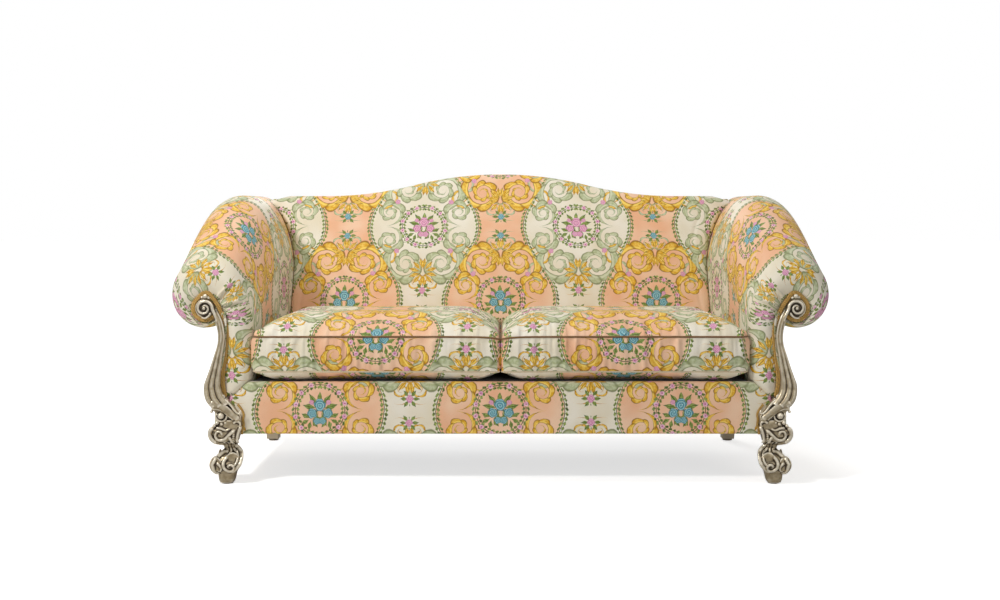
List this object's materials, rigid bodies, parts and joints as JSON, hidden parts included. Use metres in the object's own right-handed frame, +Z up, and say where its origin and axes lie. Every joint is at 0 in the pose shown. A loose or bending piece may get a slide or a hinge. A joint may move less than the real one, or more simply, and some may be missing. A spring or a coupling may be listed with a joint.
{
  "type": "rolled-arm sofa",
  "caption": "Camel-back sofa with rolled arms, loose boxed seat cushions, printed cotton cover and carved silver-leaf facings and legs.",
  "frame": {"origin": "centre of the bounding box's base, on the floor", "axes": "+X to the sitter's left hand (viewer's right), along the length; +Y to the rear; +Z up; the seat faces -Y"},
  "size_m": [2.26, 0.95, 1.0899],
  "materials": {
    "printed_cotton": "satin-weave cotton with an all-over floral and scroll print on a peach and cream ground",
    "silvered_wood": "antique silver leaf with brown patina in the carving",
    "gold_braid": "braided gold-brown gimp",
    "piping_cord": "covered cord, gold-brown",
    "platform_cloth": "plain black platform cloth",
    "foam": "polyurethane foam",
    "webbing": "jute webbing",
    "frame_wood": "unfinished beech",
    "steel": "zinc plated",
    "zip_tape": "woven nylon tape with moulded coil",
    "zip_metal": "plain brass",
    "nylon": "moulded nylon"
  },
  "bodies": {
    "frame": {"front_rail": "frame_wood", "rear_rail": "frame_wood", "side_rail_left": "frame_wood", "side_rail_right": "frame_wood", "centre_stretcher": "frame_wood", "corner_blocks": "frame_wood", "arm_stump_left": "frame_wood", "arm_stump_right": "frame_wood", "arm_rear_board_left": "frame_wood", "arm_rear_board_right": "frame_wood", "arm_top_rail_left": "frame_wood", "arm_top_rail_right": "frame_wood", "back_post_left": "frame_wood", "back_post_right": "frame_wood", "back_centre_post": "frame_wood", "back_top_rail": "frame_wood", "back_lower_rail": "frame_wood", "corner_screws": "steel", "leg_bolts": "steel", "seat_springs": "steel", "spring_clips": "steel", "back_webbing": "webbing", "arm_pad_left": "printed_cotton", "arm_pad_right": "printed_cotton", "back_pad": "printed_cotton", "outside_back": "printed_cotton", "front_border": "printed_cotton", "seat_deck": "platform_cloth", "dust_cover": "platform_cloth", "arm_facing_left": "silvered_wood", "arm_facing_right": "silvered_wood", "front_leg_left": "silvered_wood", "front_leg_right": "silvered_wood", "rear_leg_left": "silvered_wood", "rear_leg_right": "silvered_wood", "gimp_trim_left": "gold_braid", "gimp_trim_right": "gold_braid", "floor_glides": "nylon"},
    "cushion_left": {"seat_cushion_left": "printed_cotton", "cushion_core_left": "foam", "piping_top_left": "piping_cord", "piping_bottom_left": "piping_cord", "zip_tape_left": "zip_tape"},
    "cushion_right": {"seat_cushion_right": "printed_cotton", "cushion_core_right": "foam", "piping_top_right": "piping_cord", "piping_bottom_right": "piping_cord", "zip_tape_right": "zip_tape"},
    "zip_left": {"zip_slider_left": "zip_metal"},
    "zip_right": {"zip_slider_right": "zip_metal"}
  },
  "joints": [
    {"name": "cushion_left_lift", "type": "slide", "parent": "frame", "child": "cushion_left", "axis": [0, 0, 1], "range_m": [0, 0.68]},
    {"name": "cushion_right_lift", "type": "slide", "parent": "frame", "child": "cushion_right", "axis": [0, 0, 1], "range_m": [0, 0.68]},
    {"name": "zip_left_slide", "type": "slide", "parent": "cushion_left", "child": "zip_left", "axis": [-1, 0, 0], "range_m": [0, 0.56]},
    {"name": "zip_right_slide", "type": "slide", "parent": "cushion_right", "child": "zip_right", "axis": [1, 0, 0], "range_m": [0, 0.56]}
  ]
}
